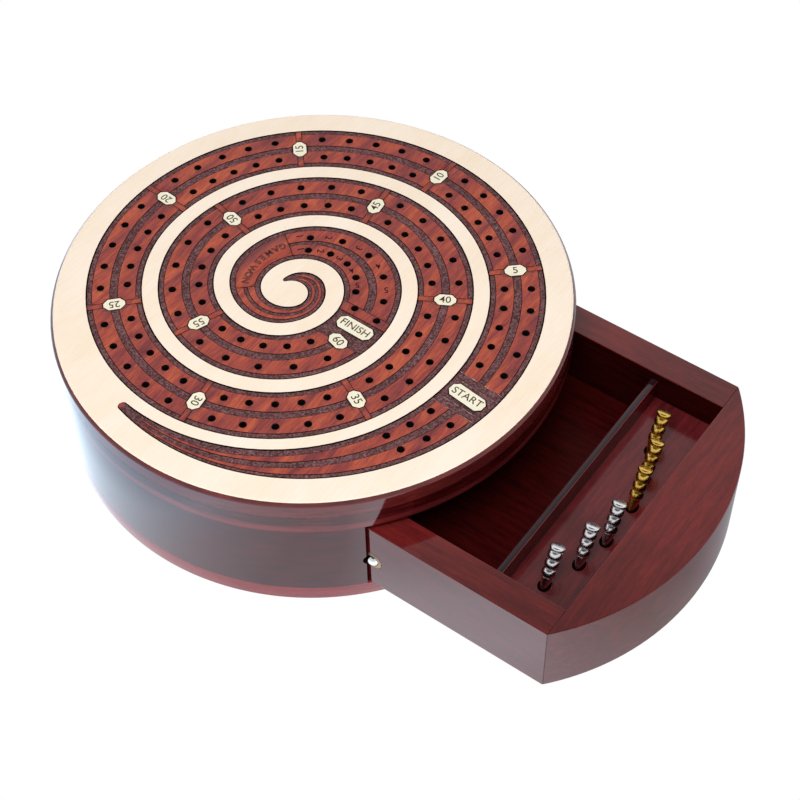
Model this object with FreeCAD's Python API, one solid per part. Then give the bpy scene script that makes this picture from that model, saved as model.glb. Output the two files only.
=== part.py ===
import FreeCAD, Part
import math
import os
from FreeCAD import Vector

# A round cribbage box. The pale top carries a spiral peg track, and a drawer for the cards and pegs
# slides out of a tunnel in the body. Sizes are in millimetres and angles in degrees.
# The origin is the centre of the underside: +X to the right, +Y away from the drawer, +Z up.
# The drawer's own pieces are laid out with it shut, then moved out together by drawer_pull.

# Small round pieces and the rack's holes are drawn with this many flats
flats = 10

# Body
body_radius = 101.5
base_thickness = 7.1
upper_thickness = 8.7
top_thickness = 8.0
edge_bevel = 1.5

# Drawer
drawer_width = 134.6
drawer_height = 34.4
drawer_wall = 12.3
drawer_back_wall = 10.0
drawer_pull = 76.0
floor_thickness = 4.5
floor_recess = 2.6
floor_tongue = 4.0

# Peg bay
peg_bay_depth = 27.9
divider_thickness = 3.0
divider_drop = 4.2
divider_tongue = 2.5
rack_drop = 13.8

# Room round the drawer in its tunnel
room_under_drawer = 0.2
room_over_drawer = 2.1
room_beside_drawer = 1.2
room_behind_drawer = 2.0
tunnel_wall = 12.4

# Pegs, from the tip up, and the row of slanted holes that holds them
peg_sunk = 9.5
peg_tip_radius = 1.0
peg_mouth_radius = 1.45
peg_neck_radius = 2.25
peg_neck_length = 4.0
peg_bead_radius = 2.7
peg_waist_radius = 2.25
peg_bead_length = 3.8
peg_beads = 3
peg_cap_radius = 2.9
peg_cap_dome_radius = 2.4
peg_cap_edge = 1.0
peg_cap_dome = 0.35
peg_lean = 34.0
peg_heading = 4.5
peg_room = 0.25
peg_room_below = 0.2
rack_mouth_radius = 2.5
rack_mouth_depth = 3.5
row_from_left = 11.6
row_from_right = 24.1
row_from_front = 7.5
row_bow = 8.5
row_narrowing = 0.4
row_middle_gap = 4.7
pegs_of_each = 3

# Ball catch in the drawer's left wall
catch_past_mouth = 1.7
catch_height = 15.0
ball_radius = 2.75
ball_proud = 1.75
ball_room = 0.2
ball_lip_grip = 0.03
ball_lip = 0.5
ball_bands = 6
ball_pole = 0.5
sleeve_wall = 0.65
sleeve_length = 9.3
sleeve_floor = 0.8
flange_width = 0.6
flange_thickness = 0.5
spring_wire = 0.45
spring_radius = 1.7
spring_turns = 4
groove_room = 0.45

# Spiral track: arcs about three centres at the corners of a small right-angled triangle. Each arc is
# tangent to the next, and the radius closes in by the triangle's three sides at every turn
border = 9.75
eye_radius = 6.8
turns = 3
track_gap = 6.05
centre_rise = 0.4
centre_slant = 25.6
inlay_gap = 0.15

# The track's thin outer end
tail_leaves = -71.7
tail_ends = -194.5
tail_cap = 1.9

# The hook at the middle: how much tighter each arc is than the one before, and its sweep
hook_outer_leaves = 969.5
hook_outer_arcs = [(0.785, 74.4), (0.634, 121.7)]
hook_inner_leaves = 629.7
hook_inner_arcs = [(0.81, 54.3), (0.812, 136.3), (0.676, 123.6), (0.61, None)]

# Peg holes. Distances run along the middle of the track from the angle track_zero
track_zero = -95.0
track_end = 1100.0
hole_radius = 1.5
hole_depth = 7.0
hole_sides = 8
lane_to_edge = 5.7
holes_in_group = 5
start_holes = 3
start_clear_outer = 13.1
start_clear_inner = 14.6
start_pitch_outer = 9.9
start_pitch_inner = 10.3
start_drift = 0.85
after_start = 15.8
after_plaque_outer = 10.3
after_plaque_inner = 9.25
before_plaque = 9.8
plaque_clear_less = 0.15
after_finish_outer = 6.7
after_finish_inner = 9.2

# The last ten holes count games won, and close in with the hook
games_outer_in = 0.7
games_outer_first = -66.8
games_outer_step = 26.5
games_inner_in = 1.8
games_inner_growth = 1.2
games_inner_first = -57.3
games_inner_step = 24.8

# Plaques let into the track
start_plaque_at = -2.3
first_stretch_more = 7.05
plaque_count = 12
finish_turn = 628.8
before_finish = 9.05
plaque_along = 5.6
plaque_across = 8.6
end_plaque_along = 6.6
end_plaque_across = 15.8
plaque_corner = 1.9
plaque_depth = 2.0

# Heights
drawer_bottom = base_thickness + room_under_drawer
drawer_top = drawer_bottom + drawer_height
tunnel_top = drawer_top + room_over_drawer
upper_top = tunnel_top + upper_thickness
body_top = upper_top + top_thickness
floor_bottom = drawer_bottom + floor_recess
floor_top = floor_bottom + floor_thickness
rack_top = drawer_top - rack_drop

# Plan of the shut drawer. Its bowed front carries on the round of the body
half_drawer = drawer_width / 2
half_inside = half_drawer - drawer_wall
half_tunnel = half_drawer + room_beside_drawer
front_line = -math.sqrt(body_radius**2 - half_drawer**2)
mouth_line = -math.sqrt(body_radius**2 - half_tunnel**2)
tunnel_end = math.sqrt((body_radius - tunnel_wall) ** 2 - half_tunnel**2)
back_face = tunnel_end - room_behind_drawer
inner_back = back_face - drawer_back_wall
divider_front = front_line + peg_bay_depth
divider_back = divider_front + divider_thickness
catch_y = mouth_line + drawer_pull - catch_past_mouth
catch_z = drawer_bottom + catch_height

drawer_shift = Vector(0, -drawer_pull, 0)
up = Vector(0, 0, 1)


def block(x0, x1, y0, y1, z0, z1):
    return Part.makeBox(x1 - x0, y1 - y0, z1 - z0, Vector(x0, y0, z0))


def disc(z0, z1):
    return Part.makeCylinder(body_radius, z1 - z0, Vector(0, 0, z0))


def polar(centre, radius, degrees):
    angle = math.radians(degrees)
    return centre + Vector(radius * math.cos(angle), radius * math.sin(angle), 0)


def ring(centre, radius, z, sides):
    return [polar(centre + up * z, radius, 360 * n / sides) for n in range(sides)]


def plate(corners):
    return Part.Face(Part.makePolygon(corners + corners[:1]))


def turned(profile):
    """A solid turned about +Z, drawn with flats. The profile is (radius, height), from the foot up."""
    rings = [ring(Vector(0, 0, 0), radius, z, flats) for radius, z in profile]
    faces = [plate(rings[0]), plate(rings[-1])]
    for low, high in zip(rings, rings[1:]):
        for n in range(flats):
            faces.append(plate([low[n - 1], low[n], high[n], high[n - 1]]))
    return Part.Solid(Part.Shell(faces))


def stood_on(solid, foot, axis):
    """The solid with its foot moved to a place and its height turned along an axis."""
    solid.Placement = FreeCAD.Placement(foot, FreeCAD.Rotation(up, axis))
    return solid


def save(shape, name):
    shape.exportStep(os.path.join("parts", name + ".step"))


def save_in_drawer(shape, name):
    save(shape.translated(drawer_shift), name)


# ---------------------------------------------------------------- spiral geometry

first_outer_radius = body_radius - edge_bevel - border
turn_step = (first_outer_radius - eye_radius) / turns
track_width = turn_step - track_gap
track_radius = first_outer_radius - track_width / 2
lane_offset = track_width / 2 - lane_to_edge

slant = math.radians(centre_slant)
centre_step_up = turn_step / (1 + math.tan(slant) + 1 / math.cos(slant))
centre_step_left = centre_step_up * math.tan(slant)
centre_a = Vector(0, centre_rise, 0)
centre_b = centre_a + Vector(0, centre_step_up, 0)
centre_c = centre_b - Vector(centre_step_left, 0, 0)
centres = [centre_a, centre_b, centre_c]
centre_gaps = [centre_step_up, centre_step_left, centre_step_up / math.cos(slant)]
turn_ends = [90.0, 180.0, 270.0 + centre_slant]


def spiral_arcs(first_radius, first_angle, last_angle):
    """Arcs (centre, radius, start, end) of one line along the spiral, anticlockwise and inward."""
    arcs = []
    radius = first_radius
    start = first_angle
    step = 0
    while start < last_angle:
        which = step % len(centres)
        end = min(turn_ends[which] + 360 * (step // len(centres)), last_angle)
        arcs.append((centres[which], radius, start, end))
        radius -= centre_gaps[which]
        start = end
        step += 1
    return arcs


def tangent_arcs(arcs, added):
    """The arcs, followed by added ones (share of the radius before, sweep), each tangent to the last."""
    arcs = list(arcs)
    for share, sweep in added:
        centre, before, _, angle = arcs[-1]
        radius = before * share
        centre = polar(centre, before - radius, angle)
        arcs.append((centre, radius, angle, None if sweep is None else angle + sweep))
    return arcs


def heading(centre, point, near):
    """The angle of point seen from centre, in the turn closest to the angle near."""
    angle = math.degrees(math.atan2(point.y - centre.y, point.x - centre.x))
    return angle + 360 * round((near - angle) / 360)


def tail_arc(outer_radius, inner_radius):
    """The arc that leaves the inner edge of the first turn and runs out to the tail's small cap."""
    tip = polar(centre_a, outer_radius - tail_cap, tail_ends)
    normal = polar(Vector(0, 0, 0), 1, tail_leaves)
    reach = tip - centre_a
    along = reach.dot(normal)
    rise = tail_cap**2 - reach.Length**2 + 2 * inner_radius * along - inner_radius**2
    radius = rise / (2 * (along - inner_radius - tail_cap))
    return polar(centre_a, inner_radius - radius, tail_leaves), radius, tip


def hook_tip(outer, inner):
    """Centre and radius of the cap that closes the hook at the end of the outer edge."""
    outer_centre, outer_radius, _, angle = outer
    inner_centre, inner_radius = inner[:2]
    away = outer_centre - inner_centre
    lean = away.dot(polar(Vector(0, 0, 0), 1, angle))
    spare = away.Length**2 + 2 * outer_radius * lean + outer_radius**2 - inner_radius**2
    cap = spare / (2 * (lean + outer_radius + inner_radius))
    return polar(outer_centre, outer_radius - cap, angle), cap


def arc_edge(centre, radius, start, end):
    middle = polar(centre, radius, (start + end) / 2)
    return Part.Arc(polar(centre, radius, start), middle, polar(centre, radius, end)).toShape()


def track_outline(shrink):
    """The closed outline of the track, drawn in by shrink all round."""
    outer_radius = track_radius + track_width / 2
    inner_radius = track_radius - track_width / 2
    tail_centre, tail_radius, tail_tip = tail_arc(outer_radius, inner_radius)

    outer = spiral_arcs(outer_radius, tail_ends, hook_outer_leaves)
    outer = tangent_arcs(outer, hook_outer_arcs)
    inner = spiral_arcs(inner_radius, tail_leaves, hook_inner_leaves)
    inner = tangent_arcs(inner, hook_inner_arcs)
    tip, tip_cap = hook_tip(outer[-1], inner[-1])
    last_centre, last_radius, last_start, _ = inner[-1]
    last_end = heading(last_centre, tip, last_start + 180)
    inner[-1] = (last_centre, last_radius, last_start, last_end)
    tail_end = heading(tail_centre, tail_tip, tail_leaves - 120)

    outer_end = outer[-1][3]
    edges = [arc_edge(centre, radius - shrink, start, end) for centre, radius, start, end in outer]
    edges.append(arc_edge(tip, tip_cap - shrink, outer_end, heading(tip, last_centre, outer_end + 90)))
    edges += [arc_edge(centre, radius + shrink, start, end) for centre, radius, start, end in inner]
    edges.append(arc_edge(tail_centre, tail_radius + shrink, tail_end, tail_leaves))
    cap_start = heading(tail_tip, tail_centre, tail_ends - 90)
    edges.append(arc_edge(tail_tip, tail_cap - shrink, cap_start, tail_ends))
    return Part.Wire(Part.sortEdges(edges)[0])


def track_frame(distance):
    """Centre, radius and angle of the middle of the track at a distance along it."""
    for centre, radius, start, end in spiral_arcs(track_radius, track_zero, track_end):
        length = radius * math.radians(end - start)
        if distance <= length:
            break
        distance -= length
    return centre, radius, start + math.degrees(distance / radius)


def track_distance(angle):
    """Distance along the middle of the track up to an angle counted on through its turns."""
    arcs = spiral_arcs(track_radius, track_zero, angle)
    return sum(radius * math.radians(end - start) for _, radius, start, end in arcs)


def track_point(distance, aside):
    centre, radius, angle = track_frame(distance)
    return polar(centre, radius + aside, angle)


def lane_shift(distance, aside, lane_distance):
    """Distance along the middle of the track that matches a distance along a lane."""
    _, radius, _ = track_frame(distance)
    return lane_distance * radius / (radius + aside)


def prism(points, z0, z1):
    corners = [Vector(point.x, point.y, z0) for point in points]
    return plate(corners).extrude(up * (z1 - z0))


# ---------------------------------------------------------------- peg holes and plaques

finish_plaque_at = track_distance(finish_turn)
last_plaque_at = finish_plaque_at - before_finish
plaque_pitch = (last_plaque_at - start_plaque_at - first_stretch_more) / plaque_count
first_plaque_at = start_plaque_at + first_stretch_more + plaque_pitch
number_plaques = [first_plaque_at + plaque_pitch * n for n in range(plaque_count)]


def spread(first, last):
    pitch = (last - first) / (holes_in_group - 1)
    return [first + pitch * n for n in range(holes_in_group)]


def lane_holes(side, start_clear, start_pitch, after_plaque, after_finish):
    """Centres of the holes of one lane, out from the start and in to the finish."""
    aside = side * lane_offset
    centres = []
    for n in range(start_holes):
        drift = start_drift * (n + 1) if side < 0 else 0
        centres.append(track_point(start_plaque_at - start_clear - start_pitch * n, aside + drift))
    places = spread(start_plaque_at + after_start, first_plaque_at - before_plaque)
    for group, (start, end) in enumerate(zip(number_plaques, number_plaques[1:])):
        less = plaque_clear_less * group
        first = start + lane_shift(start, aside, after_plaque - less)
        last = end - lane_shift(end, aside, before_plaque - less)
        places += spread(first, last)
    places.append(finish_plaque_at + after_finish)
    return centres + [track_point(place, aside) for place in places]


def games_holes(radius, growth, first, step):
    return [polar(centre_a, radius + growth * n, first + step * n) for n in range(holes_in_group)]


def hole_centres():
    centres = lane_holes(1, start_clear_outer, start_pitch_outer, after_plaque_outer, after_finish_outer)
    centres += lane_holes(-1, start_clear_inner, start_pitch_inner, after_plaque_inner, after_finish_inner)
    last_turn = track_radius - (turns - 1) * turn_step
    outer_radius = last_turn + lane_offset - games_outer_in
    inner_radius = last_turn - lane_offset - games_inner_in
    centres += games_holes(outer_radius, 0, games_outer_first, games_outer_step)
    centres += games_holes(inner_radius, games_inner_growth, games_inner_first, games_inner_step)
    return centres


def plaque_outline(distance, along, across):
    """A long octagon that stands across the track."""
    centre, _, angle = track_frame(distance)
    middle = track_point(distance, 0)
    outward = polar(Vector(0, 0, 0), 1, angle)
    forward = polar(Vector(0, 0, 0), 1, angle + 90)
    a, b, c = along / 2, across / 2, plaque_corner
    quarter = [(a, b - c), (a - c, b)]
    half = quarter + [(-x, y) for x, y in reversed(quarter)]
    corners = half + [(-x, -y) for x, y in half]
    return [middle + forward * x + outward * y for x, y in corners]


plaques = {"plaque_start": plaque_outline(start_plaque_at, end_plaque_along, end_plaque_across)}
for n, place in enumerate(number_plaques):
    plaques["plaque_%02d" % (5 * (n + 1))] = plaque_outline(place, plaque_along, plaque_across)
plaques["plaque_finish"] = plaque_outline(finish_plaque_at, end_plaque_along, end_plaque_across)


# ---------------------------------------------------------------- body

def base_disc():
    return disc(0, base_thickness)


def body_ring():
    """The round body between base and upper panel, with the tunnel and the catch's groove."""
    ring = disc(base_thickness, tunnel_top)
    tunnel = block(-half_tunnel, half_tunnel, -2 * body_radius, tunnel_end, base_thickness, tunnel_top)
    groove_radius = ball_radius + groove_room
    groove_end = Vector(-ball_centre, catch_y, catch_z)
    groove = Part.makeCylinder(groove_radius, body_radius, groove_end, Vector(0, -1, 0))
    round_end = Part.makeSphere(groove_radius, groove_end)
    return ring.cut([tunnel, groove, round_end])


def upper_disc():
    return disc(tunnel_top, upper_top)


def maple_top():
    layer = disc(upper_top, body_top)
    rim = [edge for edge in layer.Edges if edge.BoundBox.ZMin > upper_top + edge_bevel]
    layer = layer.makeChamfer(edge_bevel, rim)
    opening = Part.Face(track_outline(0))
    opening.translate(up * upper_top)
    return layer.cut(opening.extrude(up * top_thickness))


def spiral_track():
    """The inlaid track, drilled for the pegs, with a pocket for each plaque."""
    face = Part.Face(track_outline(inlay_gap))
    face.translate(up * upper_top)
    track = face.extrude(up * top_thickness)
    cuts = [prism(corners, body_top - plaque_depth, body_top) for corners in plaques.values()]
    for centre in hole_centres():
        cuts.append(prism(ring(centre, hole_radius, 0, hole_sides), body_top - hole_depth, body_top))
    return track.cut(cuts)


# ---------------------------------------------------------------- drawer

half_floor = half_inside + floor_tongue


def floor_panel():
    """The panel, with tongues that stand in grooves round the drawer."""
    front, back = front_line - floor_tongue, inner_back + floor_tongue
    return block(-half_floor, half_floor, front, back, floor_bottom, floor_top)


def drawer_front():
    """The bowed front: the slice of the body's round in front of the drawer's walls."""
    bow = Part.makeCylinder(body_radius, drawer_height, Vector(0, 0, drawer_bottom))
    slice_box = block(-half_drawer, half_drawer, -body_radius, front_line, drawer_bottom, drawer_top)
    return bow.common(slice_box).cut(floor_panel())


def divider():
    half = half_inside + divider_tongue
    return block(-half, half, divider_front, divider_back, floor_top, drawer_top - divider_drop)


def drawer_side(side):
    x0, x1 = sorted((side * half_inside, side * half_drawer))
    wall = block(x0, x1, front_line, back_face, drawer_bottom, drawer_top)
    wall = wall.cut([floor_panel(), divider()])
    if side < 0:
        wall = wall.cut([sleeve_envelope(), flange()])
    return wall


def drawer_back():
    wall = block(-half_inside, half_inside, inner_back, back_face, drawer_bottom, drawer_top)
    return wall.cut(floor_panel())


def peg_places():
    """Where each peg enters the top of the rack, in a row that bows like the drawer's front."""
    names = ["silver_peg_%d" % (n + 1) for n in range(pegs_of_each)]
    names += ["gold_peg_%d" % (n + 1) for n in range(pegs_of_each)]
    gaps = len(names) - 1
    span = 2 * half_inside - row_from_left - row_from_right
    narrowing = row_narrowing * sum(range(gaps))
    first_gap = (span - row_middle_gap + narrowing) / gaps
    places = {}
    along = 0
    for n, name in enumerate(names):
        x = row_from_left - half_inside + along
        y = front_line + row_from_front + row_bow * (2 * along / span - 1) ** 2
        places[name] = Vector(x, y, rack_top)
        along += first_gap - row_narrowing * n
        if n == pegs_of_each - 1:
            along += row_middle_gap
    return places


peg_axis = Vector(
    math.sin(math.radians(peg_lean)) * math.cos(math.radians(peg_heading)),
    math.sin(math.radians(peg_lean)) * math.sin(math.radians(peg_heading)),
    math.cos(math.radians(peg_lean)),
)


def peg_rack():
    """The rack, with a slanted hole for each peg that widens to an open mouth."""
    rack = block(-half_inside, half_inside, front_line, divider_front, floor_top, rack_top)
    depth = peg_sunk + peg_room_below
    radius = peg_mouth_radius + peg_room
    narrow = [(radius, 0), (radius, depth - rack_mouth_depth)]
    mouth = [(rack_mouth_radius, depth), (rack_mouth_radius, 2 * depth)]
    holes = []
    for place in peg_places().values():
        holes.append(stood_on(turned(narrow + mouth), place - peg_axis * depth, peg_axis))
    return rack.cut(holes)


def peg(place):
    """A turned metal peg: a taper, a row of beads and a low domed cap."""
    profile = [(peg_tip_radius, 0), (peg_mouth_radius, peg_sunk)]
    height = peg_sunk + peg_neck_length
    profile.append((peg_neck_radius, height))
    for _ in range(peg_beads):
        profile.append((peg_bead_radius, height + peg_bead_length / 2))
        height += peg_bead_length
        profile.append((peg_waist_radius, height))
    profile.append((peg_cap_radius, height))
    profile.append((peg_cap_radius, height + peg_cap_edge))
    profile.append((peg_cap_dome_radius, height + peg_cap_edge + peg_cap_dome))
    return stood_on(turned(profile), place - peg_axis * peg_sunk, peg_axis)


# ---------------------------------------------------------------- ball catch

ball_centre = half_drawer + ball_proud - ball_radius
bore_radius = ball_radius + ball_room
sleeve_radius = bore_radius + sleeve_wall
inward = Vector(1, 0, 0)


def catch_rod(radius, start, end):
    """A round bar in line with the catch, from start to end below the drawer's side."""
    foot = Vector(-half_drawer + start, catch_y, catch_z)
    return stood_on(turned([(radius, 0), (radius, end - start)]), foot, inward)


def sleeve_envelope():
    return catch_rod(sleeve_radius, 0, sleeve_length)


def flange():
    return catch_rod(sleeve_radius + flange_width, 0, flange_thickness)


def catch_sleeve():
    """A brass cup with a flange let in flush and a lip that keeps the ball in."""
    bore = catch_rod(bore_radius, ball_lip, sleeve_length - sleeve_floor)
    mouth = catch_rod(ball_radius - ball_lip_grip, 0, ball_lip)
    return sleeve_envelope().fuse(flange()).cut([bore, mouth]).removeSplitter()


def catch_ball():
    profile = []
    for n in range(ball_bands + 1):
        turn = math.pi * (n + ball_pole) / (ball_bands + 2 * ball_pole)
        profile.append((ball_radius * math.sin(turn), -ball_radius * math.cos(turn)))
    return stood_on(turned(profile), Vector(-ball_centre, catch_y, catch_z), inward)


def catch_spring():
    """A coil of square wire between the ball and the floor of the cup, six bends to a turn."""
    bends = 6
    behind_ball = half_drawer - ball_centre + math.sqrt(ball_radius**2 - (spring_radius - spring_wire)**2)
    length = sleeve_length - sleeve_floor - behind_ball - spring_wire
    foot = Vector(-half_drawer + behind_ball + spring_wire / 2, catch_y, catch_z)
    path = []
    for n in range(bends * spring_turns + 1):
        turn = 2 * math.pi * n / bends
        along = length * n / (bends * spring_turns)
        across = Vector(0, spring_radius * math.cos(turn), spring_radius * math.sin(turn))
        path.append(foot + inward * along + across)
    half = spring_wire / 2
    corners = [(-half, -half), (half, -half), (half, half), (-half, half), (-half, -half)]
    section = Part.makePolygon([path[0] + Vector(x, y, 0) for x, y in corners])
    return Part.makePolygon(path).makePipeShell([section], True, False, 1)


# ---------------------------------------------------------------- the pieces

os.makedirs("parts", exist_ok=True)

save(base_disc(), "base_disc")
save(body_ring(), "body_ring")
save(upper_disc(), "upper_disc")
save(maple_top(), "maple_top")
save(spiral_track(), "spiral_track")
for name, corners in plaques.items():
    save(prism(corners, body_top - plaque_depth, body_top), name)

save_in_drawer(drawer_front(), "drawer_front")
save_in_drawer(drawer_side(-1), "drawer_side_left")
save_in_drawer(drawer_side(1), "drawer_side_right")
save_in_drawer(drawer_back(), "drawer_back")
save_in_drawer(floor_panel(), "drawer_floor")
save_in_drawer(divider(), "divider")
save_in_drawer(peg_rack(), "peg_rack")
for name, place in peg_places().items():
    save_in_drawer(peg(place), name)
save_in_drawer(catch_sleeve(), "catch_sleeve")
save_in_drawer(catch_ball(), "catch_ball")
save_in_drawer(catch_spring(), "catch_spring")
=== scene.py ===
"""A round cribbage box: dark red lacquered body, maple top with an inlaid spiral peg track, and an open
drawer with turned metal pegs in a slanted rack. All places are in metres in the frame's own axes."""
import math

import bmesh
import bpy
from mathutils import Euler, Matrix, Vector
from mathutils.bvhtree import BVHTree


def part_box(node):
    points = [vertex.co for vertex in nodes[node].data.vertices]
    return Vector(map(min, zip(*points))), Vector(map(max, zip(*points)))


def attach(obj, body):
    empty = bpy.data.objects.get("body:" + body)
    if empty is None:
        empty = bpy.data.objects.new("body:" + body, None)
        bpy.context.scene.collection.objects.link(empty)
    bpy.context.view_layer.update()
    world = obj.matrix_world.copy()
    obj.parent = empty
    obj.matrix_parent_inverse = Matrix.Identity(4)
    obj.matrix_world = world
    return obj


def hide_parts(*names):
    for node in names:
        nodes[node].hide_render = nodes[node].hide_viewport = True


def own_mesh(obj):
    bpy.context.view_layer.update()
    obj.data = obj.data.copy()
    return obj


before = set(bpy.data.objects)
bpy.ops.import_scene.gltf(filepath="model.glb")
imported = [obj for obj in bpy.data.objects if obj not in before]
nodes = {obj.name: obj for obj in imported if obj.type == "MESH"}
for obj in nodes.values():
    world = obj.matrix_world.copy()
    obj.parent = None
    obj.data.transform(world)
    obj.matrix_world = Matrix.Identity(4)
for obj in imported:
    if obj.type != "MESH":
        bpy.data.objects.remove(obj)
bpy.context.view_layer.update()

MM = 0.001
UP = Vector((0, 0, 1))
SHARP_ANGLE = math.radians(30)

# ---------------------------------------------------------------- places read from the frame

BODY_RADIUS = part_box("base_disc")[1].x
BODY_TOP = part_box("maple_top")[1].z
UPPER_BOTTOM, UPPER_TOP = (corner.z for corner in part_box("upper_disc"))
BALL_LOW, BALL_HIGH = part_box("catch_ball")
CATCH = (BALL_LOW + BALL_HIGH) / 2

# The top's surface lies a hair under the frame's, so that lettering fits inside it
SURFACE = BODY_TOP - 0.05 * MM
LETTERING = BODY_TOP - 0.02 * MM

# ---------------------------------------------------------------- mesh helpers

def mesh_from(shape, name):
    """The mesh of a bmesh, which is freed."""
    mesh = bpy.data.meshes.new(name)
    shape.to_mesh(mesh)
    shape.free()
    return mesh


def linked(name, data):
    """A new object in the scene."""
    item = bpy.data.objects.new(name, data)
    bpy.context.scene.collection.objects.link(item)
    return item


def outward(degrees):
    """The level direction at an angle about the body's axis."""
    angle = math.radians(degrees)
    return Vector((math.cos(angle), math.sin(angle), 0))


def between(value, table):
    """A size read from (at, size) pairs, with straight runs between them."""
    for (low, first), (high, second) in zip(table, table[1:]):
        if value <= high:
            return first + (second - first) * (value - low) / (high - low)
    return table[-1][1]


def merged_copy(node):
    """A bmesh copy of a frame node, with its loose triangles joined."""
    shape = bmesh.new()
    shape.from_mesh(nodes[node].data)
    bmesh.ops.remove_doubles(shape, verts=shape.verts, dist=1e-6)
    return shape


def flattened_copy(node):
    """A joined copy of a frame node whose flat sides are single faces."""
    shape = merged_copy(node)
    bmesh.ops.dissolve_limit(shape, angle_limit=math.radians(0.5), verts=shape.verts, edges=shape.edges)
    return shape


def sharp_edges(shape):
    return [edge for edge in shape.edges if edge.calc_face_angle(0) > SHARP_ANGLE]


def soften(shape, edges, width):
    """Rounds over some edges of a shape."""
    bmesh.ops.bevel(
        shape, geom=edges, offset=width, segments=3, profile=0.5, affect="EDGES", material=-1,
        clamp_overlap=True,
    )


def painted(made, material):
    """Gives the faces of a shape that was just made their material number."""
    for face in {face for vert in made["verts"] for face in vert.link_faces}:
        face.material_index = material


def slab(shape, corner_low, corner_high, material=0):
    """A box between two corners."""
    size = corner_high - corner_low
    place = Matrix.Translation((corner_low + corner_high) / 2) @ Matrix.Diagonal((*size, 1))
    painted(bmesh.ops.create_cube(shape, size=1, matrix=place), material)


def rod(shape, start, end, radius, sides, material, end_radius=None):
    """A round bar from start to end, which may widen on the way."""
    axis = end - start
    turn = UP.rotation_difference(axis).to_matrix().to_4x4()
    place = Matrix.Translation((start + end) / 2) @ turn
    made = bmesh.ops.create_cone(
        shape, cap_ends=True, segments=sides, radius1=radius, radius2=end_radius or radius,
        depth=axis.length, matrix=place,
    )
    painted(made, material)


def lathe(profile, steps):
    """A turned shape about +Z from (radius, height) points, closed at both ends."""
    shape = bmesh.new()
    line = [shape.verts.new((radius, 0, height)) for radius, height in profile]
    edges = [shape.edges.new(pair) for pair in zip(line, line[1:])]
    bmesh.ops.spin(
        shape, geom=line + edges, cent=(0, 0, 0), axis=(0, 0, 1), angle=math.tau,
        steps=steps, use_merge=True,
    )
    bmesh.ops.remove_doubles(shape, verts=shape.verts, dist=1e-7)
    bmesh.ops.recalc_face_normals(shape, faces=shape.faces)
    return shape


def evened(item):
    """Lets the large flat faces of an object keep their flat shading beside rounded edges."""
    level = item.modifiers.new("even", "WEIGHTED_NORMAL")
    level.keep_sharp = True
    level.weight = 90
    bpy.context.view_layer.update()
    graph = bpy.context.evaluated_depsgraph_get()
    rough = item.data
    even = bpy.data.meshes.new_from_object(
        item.evaluated_get(graph), preserve_all_data_layers=True, depsgraph=graph,
    )
    item.modifiers.clear()
    name = rough.name
    item.data = even
    bpy.data.meshes.remove(rough)
    even.name = name


def finished(name, shape, materials, body, replaced=(), smooth=30, even=False):
    """Makes the object of a piece, gives it its finish and says what it rides on and stands for."""
    mesh = mesh_from(shape, name)
    mesh.shade_smooth()
    mesh.set_sharp_from_angle(angle=math.radians(smooth))
    for material in materials:
        mesh.materials.append(material)
    item = linked(name, mesh)
    if even:
        evened(item)
    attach(item, body)
    if replaced:
        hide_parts(*replaced)
    return item


def carved(shape, cutters):
    """The shape with each cutter taken out of it; a cut surface keeps its cutter's material number."""
    item = linked("carved", mesh_from(shape, "carved"))
    tools = []
    for cutter in cutters:
        bmesh.ops.recalc_face_normals(cutter, faces=cutter.faces)
        tool = linked("cutter", mesh_from(cutter, "cutter"))
        tools.append(tool)
        cut = item.modifiers.new("cut", "BOOLEAN")
        cut.operation = "DIFFERENCE"
        cut.solver = "EXACT"
        cut.object = tool
    bpy.context.view_layer.update()
    graph = bpy.context.evaluated_depsgraph_get()
    result = bmesh.new()
    result.from_mesh(item.evaluated_get(graph).to_mesh())
    for spare in [item] + tools:
        spare_mesh = spare.data
        bpy.data.objects.remove(spare)
        bpy.data.meshes.remove(spare_mesh)
    return result


LETTER_THICK = 0.1 * MM


def letters(shape, words, size, place, top, material=0, bold=0.0):
    """Flat letters made a mesh and added to a shape, with their face at a height."""
    font = bpy.data.curves.new("letters", "FONT")
    font.body = words
    font.size = size
    font.align_x = "CENTER"
    font.align_y = "CENTER"
    font.offset = bold
    font.extrude = LETTER_THICK / 2
    font.resolution_u = 4
    flat = linked("letters", font)
    bpy.context.view_layer.update()
    mesh = bpy.data.meshes.new_from_object(flat.evaluated_get(bpy.context.evaluated_depsgraph_get()))
    bpy.data.objects.remove(flat)
    bpy.data.curves.remove(font)
    height = Matrix.Translation((0, 0, top - place.translation.z - LETTER_THICK / 2))
    mesh.transform(height @ place)
    before = len(shape.faces)
    shape.from_mesh(mesh)
    bpy.data.meshes.remove(mesh)
    shape.faces.ensure_lookup_table()
    for face in shape.faces[before:]:
        face.material_index = material


# ---------------------------------------------------------------- materials

def set_values(node, **values):
    """Sets constant inputs of a node; an underscore stands for the space in an input's name."""
    for name, value in values.items():
        node.inputs[name.replace("_", " ")].default_value = value


def material_of(name):
    material = bpy.data.materials.new(name)
    material.use_nodes = True
    return material, material.node_tree, material.node_tree.nodes["Principled BSDF"]


def placed(tree, scale=(1, 1, 1), turn=0):
    """Object coordinates, stretched and turned in degrees about z to lie along a piece's grain."""
    where = tree.nodes.new("ShaderNodeTexCoord")
    mapping = tree.nodes.new("ShaderNodeMapping")
    set_values(mapping, Scale=scale, Rotation=(0, 0, math.radians(turn)))
    tree.links.new(where.outputs["Object"], mapping.inputs["Vector"])
    return mapping.outputs["Vector"]


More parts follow.
